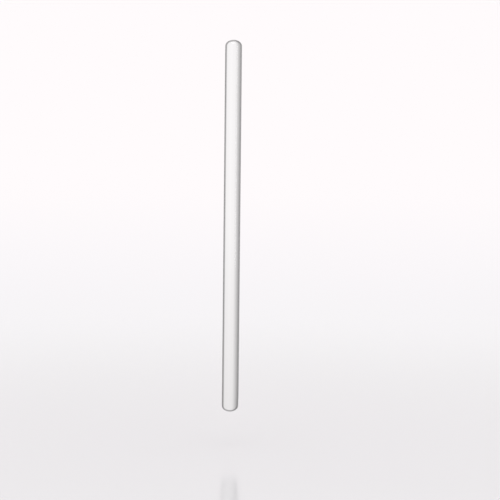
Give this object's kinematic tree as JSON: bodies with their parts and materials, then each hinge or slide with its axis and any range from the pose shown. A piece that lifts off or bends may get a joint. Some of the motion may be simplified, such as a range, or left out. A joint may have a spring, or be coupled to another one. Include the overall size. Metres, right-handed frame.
{
  "type": "glass stirring rod",
  "caption": "Straight solid rod of clear laboratory glass with fire-polished round ends, for stirring liquids and guiding a pour.",
  "frame": {"origin": "on the rod's axis, at the middle of its straight shaft, where a hand or a clamp holds it", "axes": "+Z along the rod's axis towards its upper, held end; X and Y are free, because the rod is round"},
  "size_m": [0.007, 0.007, 0.155],
  "materials": {
    "clear_glass": "clear, smooth, fire-polished"
  },
  "bodies": {
    "root": {"stirring_rod": "clear_glass"}
  },
  "joints": []
}
